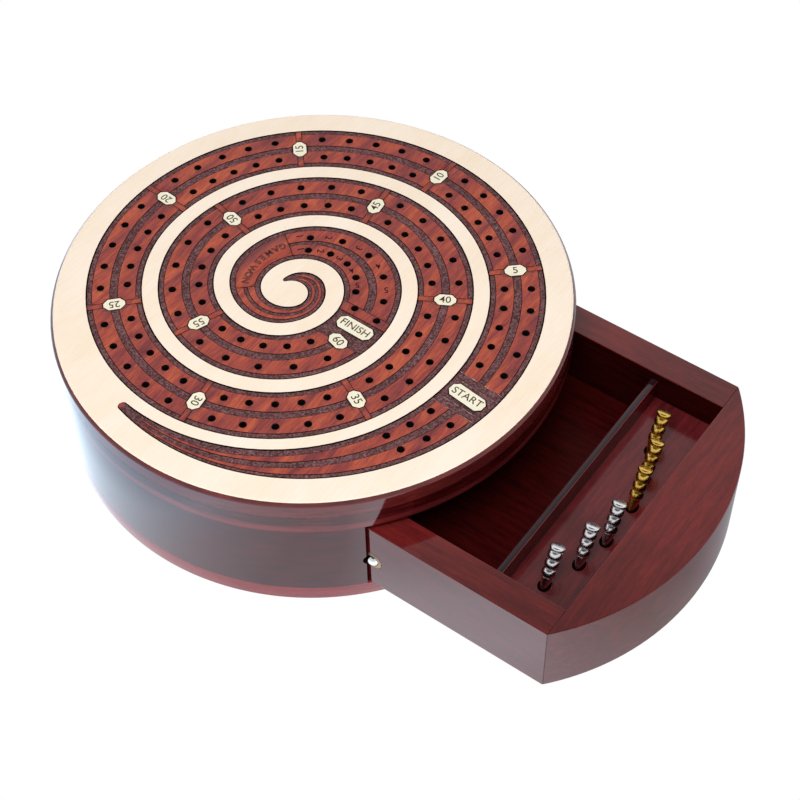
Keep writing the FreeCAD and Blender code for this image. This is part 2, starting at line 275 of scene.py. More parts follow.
def noise(tree, vector, scale, detail, roughness, distortion=0.0):
    node = tree.nodes.new("ShaderNodeTexNoise")
    set_values(node, Scale=scale, Detail=detail, Roughness=roughness, Distortion=distortion)
    tree.links.new(vector, node.inputs["Vector"])
    return node.outputs["Fac"]


def ramp(tree, factor, stops):
    """A colour ramp from (place, colour) stops."""
    node = tree.nodes.new("ShaderNodeValToRGB")
    elements = node.color_ramp.elements
    while len(elements) < len(stops):
        elements.new(0.5)
    for element, (place, colour) in zip(elements, stops):
        element.position = place
        element.color = (*colour, 1)
    tree.links.new(factor, node.inputs["Fac"])
    return node.outputs["Color"]


def mixed(tree, factor, first, second, blend="MIX"):
    node = tree.nodes.new("ShaderNodeMix")
    node.data_type = "RGBA"
    node.blend_type = blend
    sockets = node.inputs["Factor"], node.inputs[6], node.inputs[7]
    for socket, value in zip(sockets, (factor, first, second)):
        if isinstance(value, bpy.types.NodeSocket):
            tree.links.new(value, socket)
        else:
            socket.default_value = value
    return node.outputs[2]


def bumped(tree, shader, height, strength, distance):
    node = tree.nodes.new("ShaderNodeBump")
    set_values(node, Strength=strength, Distance=distance)
    tree.links.new(height, node.inputs["Height"])
    tree.links.new(node.outputs["Normal"], shader.inputs["Normal"])


def grey(shade):
    return (shade, shade, shade)


def lacquered_wood(name, dark, middle, light, scale, gloss=0.08, coat=1.0, painted_reflection=None, patches=0.0):
    """Red stained wood with long grain streaks under a clear coat; a painted reflection is (bottom, top,
    colour), a paler band painted into the colour as a reflection.
    """
    material, tree, shader = material_of(name)
    vector = placed(tree, scale)
    streaks = noise(tree, vector, 55.0, 6.0, 0.62, 0.3)
    fibres = noise(tree, vector, 420.0, 3.0, 0.6)
    colour = ramp(tree, streaks, [(0.32, dark), (0.5, middle), (0.7, light)])
    if patches:
        cloud = noise(tree, placed(tree, (1.0, 1.0, 1.0)), 22.0, 3.0, 0.5, 0.4)
        shadow = ramp(tree, cloud, [(0.38, grey(1 - patches)), (0.6, grey(1))])
        colour = mixed(tree, 1.0, colour, shadow, "MULTIPLY")
    # Painted reflection: a paler band with gaps, low on the piece, standing in for the sheen mirrored there
    if painted_reflection:
        bottom, top, reflection_tint = painted_reflection
        place = tree.nodes.new("ShaderNodeSeparateXYZ")
        tree.links.new(placed(tree), place.inputs[0])
        band = tree.nodes.new("ShaderNodeMapRange")
        set_values(band, From_Min=UPPER_BOTTOM, From_Max=BODY_TOP)
        tree.links.new(place.outputs["Z"], band.inputs["Value"])
        amount = ramp(tree, band.outputs["Result"], [
            (bottom, grey(0.55)), ((bottom + top) / 2, grey(1)), (top, grey(0.75)), (top + 0.05, grey(0)),
        ])
        uneven = noise(tree, placed(tree, (1.0, 1.0, 9.0)), 16.0, 4.0, 0.6)
        gaps = ramp(tree, uneven, [(0.36, grey(0.15)), (0.6, grey(1))])
        colour = mixed(tree, mixed(tree, 1.0, amount, gaps, "MULTIPLY"), colour, (*reflection_tint, 1))
    shade = ramp(tree, fibres, [(0.3, grey(0.7)), (0.7, grey(1))])
    tree.links.new(mixed(tree, 1.0, colour, shade, "MULTIPLY"), shader.inputs["Base Color"])
    set_values(shader, Roughness=0.5, Specular_IOR_Level=0.0)
    set_values(shader, Coat_Weight=coat, Coat_Roughness=gloss, Coat_IOR=1.5)
    bumped(tree, shader, streaks, 0.03, 0.0003)
    return material


def maple_wood():
    """Pale, close-grained wood with a faint flake and a few tiny specks."""
    material, tree, shader = material_of("maple")
    clouds = noise(tree, placed(tree, (1.0, 3.0, 1.0), 8), 24.0, 5.0, 0.6)
    grain = noise(tree, placed(tree, (1.0, 16.0, 1.0)), 160.0, 3.0, 0.6)
    specks = noise(tree, placed(tree), 650.0, 2.0, 0.5)
    colour = ramp(tree, clouds, [
        (0.3, (0.93, 0.78, 0.62)), (0.52, (0.955, 0.82, 0.68)), (0.72, (0.97, 0.85, 0.73)),
    ])
    fine = ramp(tree, grain, [(0.3, (0.96, 0.945, 0.93)), (0.6, grey(1))])
    dots = ramp(tree, specks, [(0.2, (0.85, 0.76, 0.7)), (0.25, grey(1))])
    colour = mixed(tree, 1.0, mixed(tree, 1.0, colour, fine, "MULTIPLY"), dots, "MULTIPLY")
    tree.links.new(colour, shader.inputs["Base Color"])
    set_values(shader, Roughness=0.5, Specular_IOR_Level=0.3)
    bumped(tree, shader, grain, 0.06, 0.0002)
    return material


LANE_GRAIN = -8


def streaked_wood():
    """The lanes' orange-red wood, crossed by slanted purple-red and nearly black streaks."""
    material, tree, shader = material_of("track_lane")
    broad = noise(tree, placed(tree, (1.0, 6.0, 1.0), LANE_GRAIN), 30.0, 5.0, 0.62, 0.7)
    fine = noise(tree, placed(tree, (1.0, 12.0, 1.0), LANE_GRAIN), 150.0, 4.0, 0.62, 0.3)
    pores = noise(tree, placed(tree, (1.0, 20.0, 1.0), LANE_GRAIN), 420.0, 3.0, 0.6)
    colour = ramp(tree, broad, [
        (0.32, (0.19, 0.04, 0.042)), (0.43, (0.29, 0.058, 0.05)),
        (0.54, (0.42, 0.082, 0.05)), (0.68, (0.55, 0.12, 0.06)),
    ])
    shade = ramp(tree, fine, [(0.34, (0.6, 0.54, 0.62)), (0.56, grey(1))])
    dots = ramp(tree, pores, [(0.36, (0.52, 0.46, 0.52)), (0.48, grey(1))])
    colour = mixed(tree, 0.7, mixed(tree, 0.9, colour, shade, "MULTIPLY"), dots, "MULTIPLY")
    tree.links.new(colour, shader.inputs["Base Color"])
    set_values(shader, Roughness=0.45, Specular_IOR_Level=0.35)
    bumped(tree, shader, fine, 0.15, 0.0002)
    return material


def burned_wood(name, dark, middle, light, size, bump=0.5, tone=0.25):
    """Laser-engraved wood: a grainy floor with darker pits and paler flecks."""
    material, tree, shader = material_of(name)
    flecks = noise(tree, placed(tree), size, 4.0, 0.7)
    clouds = noise(tree, placed(tree), size / 14, 3.0, 0.5)
    colour = ramp(tree, flecks, [(0.36, dark), (0.5, middle), (0.68, light)])
    shade = ramp(tree, clouds, [(0.35, grey(1 - tone)), (0.65, grey(1))])
    tree.links.new(mixed(tree, 1.0, colour, shade, "MULTIPLY"), shader.inputs["Base Color"])
    set_values(shader, Roughness=0.85, Specular_IOR_Level=0.2)
    bumped(tree, shader, flecks, bump, 0.0004)
    return material


def polished_metal(name, colour, worn, roughness):
    """Turned metal with faint smudges and slightly uneven polish."""
    material, tree, shader = material_of(name)
    smudges = noise(tree, placed(tree), 260.0, 4.0, 0.6)
    tree.links.new(ramp(tree, smudges, [(0.3, worn), (0.65, colour)]), shader.inputs["Base Color"])
    set_values(shader, Metallic=1.0)
    span = tree.nodes.new("ShaderNodeMapRange")
    set_values(span, To_Min=roughness * 0.7, To_Max=roughness * 1.5)
    tree.links.new(smudges, span.inputs["Value"])
    tree.links.new(span.outputs["Result"], shader.inputs["Roughness"])
    return material


# Grain directions: the noise is stretched along the axis with the smallest scale
ALONG_X = (1.0, 9.0, 9.0)
ALONG_Y = (9.0, 1.0, 9.0)
ROUND_BODY = (1.3, 1.3, 12.0)
DARK, MIDDLE, LIGHT = (0.03, 0.002, 0.003), (0.05, 0.003, 0.004), (0.08, 0.006, 0.006)
# The drawer's tops take these paler rim colours and its upright faces darker copies of the same stain:
# painted light and shade
RIM_DARK, RIM_MIDDLE, RIM_LIGHT = (0.11, 0.01, 0.011), (0.155, 0.014, 0.014), (0.2, 0.02, 0.016)
# A painted reflection: the pale line low on the upper panel, as shares of the height from the panel's foot to
# the top
UPPER_PAINTED_REFLECTION = (0.0, 0.18, (0.22, 0.026, 0.028))

body_wood = lacquered_wood("body_wood", DARK, MIDDLE, LIGHT, ROUND_BODY)
upper_wood = lacquered_wood("upper_wood", DARK, MIDDLE, (0.12, 0.008, 0.007), ROUND_BODY, painted_reflection=UPPER_PAINTED_REFLECTION)
base_wood = lacquered_wood(
    "base_wood", (0.2, 0.024, 0.027), (0.26, 0.034, 0.038), (0.31, 0.044, 0.048), ROUND_BODY, coat=0.85,
)
rim_wood = lacquered_wood("rim_wood", RIM_DARK, RIM_MIDDLE, RIM_LIGHT, ALONG_Y, patches=0.3)
front_wood = lacquered_wood("front_wood", RIM_DARK, RIM_MIDDLE, RIM_LIGHT, ALONG_X, patches=0.3)
# Painted shade: a darker copy of the drawer's stain for its outer sides
shaded_side_wood = lacquered_wood(
    "shaded_side_wood", (0.045, 0.003, 0.004), (0.07, 0.004, 0.005), (0.11, 0.008, 0.008), ALONG_Y,
)
# Painted shade: a darker copy of the drawer's stain for the bow's outer face
shaded_bow_wood = lacquered_wood("shaded_bow_wood", (0.06, 0.004, 0.005), (0.09, 0.006, 0.007), (0.14, 0.01, 0.01), ALONG_X)
# Painted shade: near-black red for the drawer's inner faces and floor and the tunnel's cut faces, where
# little light reaches
shaded_inside_wood = lacquered_wood(
    "shaded_inside_wood", (0.02, 0.0015, 0.0015), (0.035, 0.0022, 0.0022), (0.05, 0.003, 0.003), ALONG_Y,
    gloss=0.3, coat=0.1,
)
# Painted reflection: a dark grey for the divider's top, standing in for the dim room mirrored in it
ledge_painted_reflection = lacquered_wood(
    "ledge_painted_reflection", (0.015, 0.006, 0.009), (0.022, 0.009, 0.013), (0.035, 0.012, 0.016), ALONG_X,
)
rack_wood = lacquered_wood(
    "rack_wood", (0.08, 0.009, 0.012), (0.12, 0.013, 0.016), (0.16, 0.018, 0.019), ALONG_X,
    gloss=0.14, patches=0.5,
)
stained_edge = lacquered_wood(
    "stained_edge", (0.07, 0.008, 0.008), (0.12, 0.014, 0.014), (0.17, 0.022, 0.02), ROUND_BODY,
)
maple = maple_wood()
lane_wood = streaked_wood()
engraved = burned_wood("engraved", (0.055, 0.019, 0.02), (0.14, 0.06, 0.062), (0.28, 0.16, 0.17), 1300.0)
scored = burned_wood(
    "scored_line", (0.02, 0.003, 0.003), (0.04, 0.006, 0.006), (0.08, 0.015, 0.014), 1400.0,
)
kerf = burned_wood("kerf", (0.003, 0.002, 0.002), (0.006, 0.003, 0.003), (0.014, 0.006, 0.005), 1400.0)
# Painted shade: near black on the walls of the peg holes, for the dark down inside them
hole_painted_shade = burned_wood(
    "hole_painted_shade", (0.002, 0.001, 0.001), (0.004, 0.002, 0.002), (0.01, 0.006, 0.006), 1400.0,
)
outline_wood = burned_wood(
    "letter_outline", (0.02, 0.003, 0.003), (0.04, 0.007, 0.007), (0.07, 0.014, 0.013), 1400.0,
)
letter_fill = burned_wood("letter_fill", (0.1, 0.04, 0.045), (0.2, 0.09, 0.095), (0.3, 0.16, 0.17), 1300.0)
# Painted highlights: pale flecks along the start's scored lines, standing in for glints of light
glint_fleck_line = burned_wood(
    "glint_fleck_line", (0.1, 0.03, 0.035), (0.3, 0.13, 0.14), (0.95, 0.8, 0.82), 700.0, bump=0.2,
)
plaque_wood = burned_wood(
    "plaque_wood", (0.85, 0.79, 0.61), (0.88, 0.83, 0.66), (0.9, 0.86, 0.7), 300.0, bump=0.1, tone=0.03,
)
ink = burned_wood("burned_letters", (0.04, 0.022, 0.01), (0.1, 0.06, 0.03), (0.2, 0.14, 0.08), 1600.0)
silver = polished_metal("silver", (0.92, 0.92, 0.94), (0.78, 0.78, 0.8), 0.24)
gold = polished_metal("gold", (0.9, 0.62, 0.16), (0.7, 0.43, 0.07), 0.26)
brass = polished_metal("catch_brass", (0.34, 0.25, 0.14), (0.2, 0.14, 0.08), 0.3)
steel = polished_metal("catch_steel", (0.85, 0.85, 0.85), (0.65, 0.65, 0.66), 0.1)
wire = polished_metal("spring_wire", (0.6, 0.6, 0.6), (0.45, 0.45, 0.46), 0.3)

# ---------------------------------------------------------------- body

EDGE_ROUND = 0.35 * MM
TUNNEL_HALF = 68.5 * MM
TUNNEL_END = 56.98 * MM
GROOVE_RADIUS = 3.2 * MM
GROOVE_REACH = 79 * MM
TURNED_SIDES = 256
ROUND_ANGLES = (0.4, 0.8, 1.2)


def body_disc(name, node, material, foot=0.0):
    """A plain turned layer of the body, with a small round on its lower edge where it has a foot."""
    low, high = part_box(node)
    profile = [(0, low.z), (BODY_RADIUS - foot, low.z)]
    if foot:
        for angle in ROUND_ANGLES:
            inward, upward = foot * (1 - math.sin(angle)), foot * (1 - math.cos(angle))
            profile.append((BODY_RADIUS - inward, low.z + upward))
        profile.append((BODY_RADIUS, low.z + foot))
    profile += [(BODY_RADIUS, high.z), (0, high.z)]
    finished(name, lathe(profile, TURNED_SIDES), [material], "box", [node])


def body_wall():
    """The ring between the base and the upper panel, with the drawer's tunnel and the catch's groove."""
    low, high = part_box("body_ring")
    profile = [(0, low.z), (BODY_RADIUS, low.z), (BODY_RADIUS, high.z), (0, high.z)]
    wall = lathe(profile, TURNED_SIDES)
    tunnel = bmesh.new()
    front = Vector((-TUNNEL_HALF, -2 * BODY_RADIUS, low.z - MM))
    slab(tunnel, front, Vector((TUNNEL_HALF, TUNNEL_END, high.z + MM)), 1)
    groove = bmesh.new()
    start = Vector((CATCH.x, CATCH.y + GROOVE_REACH, CATCH.z))
    rod(groove, start, start - Vector((0, BODY_RADIUS, 0)), GROOVE_RADIUS, 32, 1)
    # The tunnel's and the groove's cut faces take the painted-shade inside wood
    finished(
        "body_wall", carved(wall, [tunnel, groove]), [body_wood, shaded_inside_wood], "box",
        ["body_ring"],
    )


body_disc("body_base", "base_disc", base_wood, EDGE_ROUND)
body_wall()
body_disc("body_upper", "upper_disc", upper_wood)

# ---------------------------------------------------------------- maple top

RIM_ROUND = 0.5 * MM
RIM_REACH = 2 * MM
STAIN_REACH = 1.2 * MM


def maple_layer():
    """The maple layer: its chamfered rim is rounded and stained, and its opening is burned black."""
    shape = flattened_copy("maple_top")
    rim = [
        edge for edge in sharp_edges(shape)
        if min(vert.co.xy.length for vert in edge.verts) > BODY_RADIUS - RIM_REACH
        and min(vert.co.z for vert in edge.verts) > UPPER_TOP + MM
    ]
    soften(shape, rim, RIM_ROUND)
    shape.normal_update()
    for face in shape.faces:
        at_rim = face.calc_center_median().xy.length > BODY_RADIUS - STAIN_REACH
        if at_rim and face.normal.z < 0.97:
            face.material_index = 1
        elif abs(face.normal.z) < 0.5:
            face.material_index = 2
    for vert in shape.verts:
        vert.co.z = min(vert.co.z, SURFACE)
    finished("maple_layer", shape, [maple, stained_edge, kerf], "box", ["maple_top"], even=True)


maple_layer()

# ---------------------------------------------------------------- the track's line

# Three centres at the corners of a small triangle, and where each arc about them ends
TURN_STEP = 27.8167 * MM
SLANT_DEGREES = 25.6
SLANT = math.radians(SLANT_DEGREES)
STEP_UP = TURN_STEP / (1 + math.tan(SLANT) + 1 / math.cos(SLANT))
STEP_LEFT = STEP_UP * math.tan(SLANT)
CENTRE_A = Vector((0, 0.4 * MM, 0))
CENTRE_B = CENTRE_A + Vector((0, STEP_UP, 0))
CENTRE_C = CENTRE_B - Vector((STEP_LEFT, 0, 0))
CENTRES = [CENTRE_A, CENTRE_B, CENTRE_C]
CENTRE_GAPS = [STEP_UP, STEP_LEFT, STEP_UP / math.cos(SLANT)]
TURN_ENDS = [90.0, 180.0, 270.0 + SLANT_DEGREES]
TURN_STARTS = [TURN_ENDS[-1] - 360, 90.0, 180.0]
OUTER_RADIUS = 90.25 * MM
TAIL_TIP = -195.74
HOOK_LEAVES = 969.5
# Each arc of the hook: its radius as a share of the one before, and its sweep
HOOK_ARCS = [(0.785, 74.4), (0.634, 150.0)]


def outer_arcs():
    """Arcs (centre, radius, start, end) of the track's outer edge, from the tail to the hook's tip."""
    arcs = []
    radius, start, step = OUTER_RADIUS, TAIL_TIP, 0
    while start < HOOK_LEAVES:
        which = step % 3
        end = min(TURN_ENDS[which] + 360 * (step // 3), HOOK_LEAVES)
        arcs.append((CENTRES[which], radius, start, end))
        radius -= CENTRE_GAPS[which]
        start = end
        step += 1
    for share, sweep in HOOK_ARCS:
        centre, before, _, angle = arcs[-1]
        radius = before * share
        arcs.append((centre + outward(angle) * (before - radius), radius, angle, angle + sweep))
    return arcs


def radial_at(point):
    """The direction straight across the track at a point on it, away from the middle."""
    for centre, low, high in zip(CENTRES, TURN_STARTS, TURN_ENDS):
        away = point - centre
        angle = math.degrees(math.atan2(away.y, away.x))
        if any(low <= angle + turn <= high for turn in (0, 360)):
            return Vector((away.x, away.y, 0)).normalized()
    return Vector((point.x, point.y, 0)).normalized()


def across_frame(middle, radial, height):
    """A frame at a place on the track: x outward across it, y along it, z up."""
    turn = Matrix((radial, UP.cross(radial), UP)).transposed().to_4x4()
    return Matrix.Translation((middle.x, middle.y, height)) @ turn


PLAQUES = ["plaque_start"] + ["plaque_%02d" % count for count in range(5, 61, 5)] + ["plaque_finish"]


def plaque_place(node):
    """A plaque's centre and the direction across the track there."""
    low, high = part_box(node)
    middle = (low + high) / 2
    return middle, radial_at(middle)


# ---------------------------------------------------------------- special places on the track

# Each row of breaks is (mm along the track from its place, what the track is from there on)
NUMBER_BREAKS = [(-1.33, "scored"), (-1.13, "plain"), (1.13, "scored"), (1.33, "track")]
# The start's fleck lines carry painted glints
START_BREAKS = [
    (-8.3, "fleck"), (-8.06, "engraved"), (-5.3, "fleck"), (-5.12, "engraved"),
    (4.6, "fleck"), (4.78, "engraved"), (8.0, "fleck"), (8.24, "track"),
]
FINISH_BREAKS = [
    (-9.4, "scored"), (-9.2, "engraved"), (4.5, "scored"), (4.72, "plain"), (8.98, "scored"), (9.2, "track"),
]
GAMES_BREAKS = [(-0.12, "bar"), (0.12, "games")]
HOOK_BREAKS = [(-0.12, "bar"), (0.12, "track")]
# The start's bars lean a little, in degrees; the other two bars run from an outer to an inner end
START_TILT = 3.5
GAMES_BAR = Vector((17.3, 27.5, 0)) * MM, Vector((10.6, 18.4, 0)) * MM
HOOK_BAR = Vector((-15.85, 25.2, 0)) * MM, Vector((-10.95, 20.14, 0)) * MM


def special_places():
    """(middle, direction across, breaks) of each special place, in order from the tail to the hook."""
    places = [(plaque_place("plaque_start")[0], outward(-90 - START_TILT), START_BREAKS)]
    for node in PLAQUES[1:-2]:
        places.append((*plaque_place(node), NUMBER_BREAKS))
    places.append((plaque_place("plaque_finish")[0], outward(-90), FINISH_BREAKS))
    for (outer, inner), breaks in ((GAMES_BAR, GAMES_BREAKS), (HOOK_BAR, HOOK_BREAKS)):
        places.append(((outer + inner) / 2, (outer - inner).normalized(), breaks))
    return places


# Rows are laid at most ROW_STEP apart; the rough ones come first, closer together at the two tips
ROW_STEP = 2.0 * MM
ROUGH_STEP = 4.0 * MM
FEWEST_ROWS = 4
TAIL_FINE_ROWS, TAIL_FINE_STEP, TAIL_FINE_END = 12, 0.12, 1.5
HOOK_FINE_SHARE, HOOK_FINE_FROM, HOOK_FINE_ROWS = 0.35, 110, 40

# Lines across the track start this far outside it, and cross it at this height over its underside
ROW_OUTSIDE, FARTHEST_OUTSIDE = 1.5 * MM, 5 * MM
FILL_OUTSIDE = 1.2
PLACE_OUTSIDE = (13, 12, 14, 11, 15, 16, 10, 9, 8, 7, 6, 5)
CROSSING_HEIGHT = 0.4 * MM
WIDEST_TURN, WIDEST_PLACE = 22.5 * MM, 29 * MM

# A special place reaches this far aside and beyond its breaks, and a break is this wide to each side
PLACE_ASIDE, PLACE_MARGIN, BREAK_HALF = 12, 0.4, 0.02

# The tail's tip has no bands, and where the track is narrower than this it is engraved all over
PLAIN_TIP = 3.2 * MM
TAIL_ROWS = 200
TAIL_BURNED, HOOK_BURNED = 4.6, 4.7
TIP_REACH = 0.12 * MM


class TrackSolid:
    """The frame's track, asked where lines across it meet its two edges."""

    def __init__(self):
        solid = merged_copy("spiral_track")
        self.tree = BVHTree.FromBMesh(solid)
        solid.free()

    def edges(self, start, inward, widest=WIDEST_PLACE):
        """The outer and inner edge on a line that starts just outside the track, or None."""
        start = Vector((start.x, start.y, UPPER_TOP + CROSSING_HEIGHT))
        outer, _, _, first = self.tree.ray_cast(start, inward)
        if outer is None or first > FARTHEST_OUTSIDE:
            return None
        inner, _, _, reach = self.tree.ray_cast(outer + inward * 1e-5, inward)
        if inner is None or reach > widest:
            return None
        return outer, inner


def rough_angles(radius, start, end, at_tail, at_hook):
    """Angles of the rough rows on one arc."""
    step = ROUGH_STEP * (HOOK_FINE_SHARE if at_hook else 1)
    count = max(FEWEST_ROWS, math.ceil(math.radians(end - start) * radius / step))
    angles = [start + (end - start) * n / count for n in range(count)]
    if at_tail:
        fine = [TAIL_TIP + TAIL_FINE_STEP * n for n in range(TAIL_FINE_ROWS)]
        angles = fine + [angle for angle in angles if angle > TAIL_TIP + TAIL_FINE_END]
    if at_hook:
        turn = start + HOOK_FINE_FROM
        angles = [angle for angle in angles if angle < turn] + [turn + n for n in range(HOOK_FINE_ROWS)]
    return angles


def plain_rows(solid):
    """Rough rows straight across the track, with no heed to its special places."""
    rows = []
    arcs = outer_arcs()
    for number, (centre, radius, start, end) in enumerate(arcs):
        for angle in rough_angles(radius, start, end, number == 0, number == len(arcs) - 1):
            outside = centre + outward(angle) * (radius + ROW_OUTSIDE)
            found = solid.edges(outside, -outward(angle), WIDEST_TURN)
            if found:
                rows.append(found)
    return rows


def inside_place(row, middle, radial, breaks):
    """Whether a row lies in a special place or crosses one of its ends."""
    along = UP.cross(radial)
    ends = [(end - middle).dot(along) / MM for end in row]
    aside = abs(((row[0] + row[1]) / 2 - middle).dot(radial)) / MM
    first, last = breaks[0][0] - PLACE_MARGIN, breaks[-1][0] + PLACE_MARGIN
    return aside < PLACE_ASIDE and max(ends) > first and min(ends) < last


def place_rows(solid, middle, radial, breaks, before):
    """Rows for a special place: two close together at each break, so that it is crisp."""
    along = UP.cross(radial)
    rows = []
    for where, kind in breaks:
        for shift, own in ((-BREAK_HALF, before), (BREAK_HALF, kind)):
            origin = middle + along * (where + shift) * MM
            for reach in PLACE_OUTSIDE:
                found = solid.edges(origin + radial * reach * MM, -radial)
                if found and (found[0] - origin).dot(radial) > 0 > (found[1] - origin).dot(radial):
                    rows.append((*found, own))
                    break
        before = kind
    return rows


def closed_up(solid, rows):
    """Fills wide gaps between rows with rows that turn gradually from one to the next."""
    full = []
    for (outer, inner, kind), (next_outer, next_inner, _) in zip(rows, rows[1:]):
        full.append((outer, inner, kind))
        gap = max((outer - next_outer).length, (inner - next_inner).length)
        count = math.ceil(gap / ROW_STEP)
        for n in range(1, count):
            start = outer.lerp(next_outer, n / count)
            inward = (inner.lerp(next_inner, n / count) - start).normalized()
            found = solid.edges(start - inward * FILL_OUTSIDE * MM, inward)
            if found:
                full.append((*found, kind))
    return full + rows[-1:]


def track_rows():
    """All rows (outer edge, inner edge, kind) from the tail's tip to the hook's."""
    solid = TrackSolid()
    rough = plain_rows(solid)
    rows, kind, position = [], "track", 0
    for middle, radial, breaks in special_places():
        while not inside_place(rough[position], middle, radial, breaks):
            rows.append((*rough[position], kind))
            position += 1
        rows += place_rows(solid, middle, radial, breaks, kind)
        kind = breaks[-1][1]
        while inside_place(rough[position], middle, radial, breaks):
            position += 1
    rows += [(*row, kind) for row in rough[position:]]
    rows = closed_up(solid, rows)
    tail = rows[0][0]
    marked = []
    for number, (outer, inner, kind) in enumerate(rows):
        in_tail = number < TAIL_ROWS
        if kind == "track":
            if in_tail and (outer - tail).length < PLAIN_TIP:
                kind = "plain"
            elif (outer - inner).length / MM < (TAIL_BURNED if in_tail else HOOK_BURNED):
                kind = "engraved"
        marked.append((outer, inner, kind))
    tips = []
    for near, far in ((marked[0], marked[2]), (marked[-1], marked[-3])):
        middle, before = (near[0] + near[1]) / 2, (far[0] + far[1]) / 2
        tip = middle + (middle - before).normalized() * TIP_REACH
        tips.append((tip, tip.copy(), near[2]))
    return tips[:1] + marked + tips[1:]


# ---------------------------------------------------------------- spiral track

HOLE_RADIUS = 1.5 * MM
HOLE_DEPTH = 7 * MM
HOLE_SIDES = 20
SAME_LEVEL = 0.05 * MM

# The finishes' numbers, and in mm the inlay's height, the depths of its cuts and their widths
LANE, BAND, LINE, KERF, HOLE, FLECK = range(6)
TRACK_THICK = 7.9
SHALLOW, DEEP, SCRATCH = 0.16, 0.3, 0.08
WALL, GROOVE, KERF_WIDE = 0.04, 0.18, 0.38
FULL_CUTS_FROM, KERF_SHARE = 9, 11

# Strips of the track, by its width in mm there: the outer and inner band, and half of the centre band
TURNS_BANDS = (
    [(0, 0), (7, 1.5), (12, 2.1), (40, 2.1)],
    [(0, 0), (7, 1.5), (12, 2.1), (40, 2.1)],
    [(0, 0), (7, 0.6), (12, 0.6), (17, 0.65), (20, 1.1), (21.4, 1.4), (40, 1.49)],
)
TAIL_BANDS = (
    [(0, 0), (9.5, 1.3), (20, 2.1), (40, 2.1)],
    [(0, 0), (9.5, 3.1), (20, 2.1), (40, 2.1)],
    [(0, 0), (9.5, 1.0), (20, 1.49), (40, 1.49)],
)


def strip_edges(width, bands):
    """Distances in mm from the outer edge of the lines between the strips, at a width of the track."""
    outer, inner, half = (between(width, table) for table in bands)
    fine = min(1, width / FULL_CUTS_FROM)
    wall, groove, kerf_wide = WALL * fine, GROOVE * fine, min(KERF_WIDE, width / KERF_SHARE)
    middle = (outer + width - inner) / 2

    def side(band, centre):
        return [
            0, 0, kerf_wide, kerf_wide + wall,
            band, band + wall, band + wall + groove, band + 2 * wall + groove,
            centre - half - 2 * wall - groove, centre - half - wall - groove, centre - half - wall,
            centre - half,
        ]

    near = side(outer, middle)
    far = [width - place for place in reversed(side(inner, width - middle))]
    return near + far + near[:1]


def strip_section(kind):
    """How deep each line between the strips lies, in mm, and the material of each strip."""
    half_down = [TRACK_THICK, DEEP, DEEP, SHALLOW, SHALLOW, DEEP, DEEP, 0, 0, DEEP, DEEP, SHALLOW]
    half_strips = [KERF, KERF, KERF, BAND, LINE, LINE, LINE, LANE, LINE, LINE, LINE]
    down = half_down + half_down[::-1] + half_down[:1]
    strips = half_strips + [BAND] + half_strips[::-1] + [KERF]
    first, last, depth, material = {
        "track": (0, 0, 0, 0), "engraved": (3, 20, SHALLOW, BAND), "scored": (3, 20, DEEP, LINE),
        "fleck": (3, 20, SCRATCH, FLECK), "plain": (3, 20, 0, LANE), "games": (8, 15, 0, LANE),
        "bar": (7, 16, DEEP, LINE),
    }[kind]
    if last:
        for line in range(first, last + 1):
            down[line] = depth
        for strip in range(first, last):
            strips[strip] = material
    return down, strips


def track_sheet():
    """A grid whose rows are laid across the track and whose columns follow its strips."""
    rows = track_rows()
    tail_end = next(number for number, row in enumerate(rows) if row[2] == "fleck")
    columns = len(strip_section("track")[1])
    shape = bmesh.new()
    bmesh.ops.create_grid(shape, x_segments=columns, y_segments=len(rows) - 1, size=1)

    def column(vert):
        return round((vert.co.x + 1) / 2 * columns)

    def row(vert):
        return round((vert.co.y + 1) / 2 * (len(rows) - 1))

    sections = {kind: strip_section(kind) for kind in {kind for _, _, kind in rows}}
    for face in shape.faces:
        strip = min(column(vert) for vert in face.verts)
        kinds = [rows[pick(row(vert) for vert in face.verts)][2] for pick in (min, max)]
        deeper = max(kinds, key=lambda kind: sum(sections[kind][0][strip:strip + 2]))
        face.material_index = sections[deeper][1][strip]
    edges = [
        strip_edges((outer - inner).length / MM, TAIL_BANDS if number < tail_end else TURNS_BANDS)
        for number, (outer, inner, _) in enumerate(rows)
    ]
    for vert in shape.verts:
        across, along = column(vert), row(vert)
        outer, inner, kind = rows[along]
        inward = (inner - outer).normalized()
        vert.co = outer + inward * edges[along][across] * MM
        vert.co.z = SURFACE - sections[kind][0][across] * MM
    bmesh.ops.remove_doubles(shape, verts=shape.verts, dist=2e-6)
    loose = [edge for edge in shape.edges if edge.is_boundary]
    bmesh.ops.holes_fill(shape, edges=loose, sides=0)
    bmesh.ops.recalc_face_normals(shape, faces=shape.faces)
    return shape


def hole_places():
    """Centres of the peg holes, from the foot of each hole in the frame's solid."""
    solid = merged_copy("spiral_track")
    level = BODY_TOP - HOLE_DEPTH
    feet = [vert.co.copy() for vert in solid.verts if abs(vert.co.z - level) < SAME_LEVEL]
    solid.free()
    places = []
    while feet:
        ring = [foot for foot in feet if (foot - feet[0]).length < 2.2 * HOLE_RADIUS]
        feet = [foot for foot in feet if foot not in ring]
        places.append(sum(ring, Vector()) / len(ring))
    return places


# Round each plaque, and down to its underside
PLAQUE_KERF = 0.32 * MM
POCKET_DEPTH = 2.05 * MM


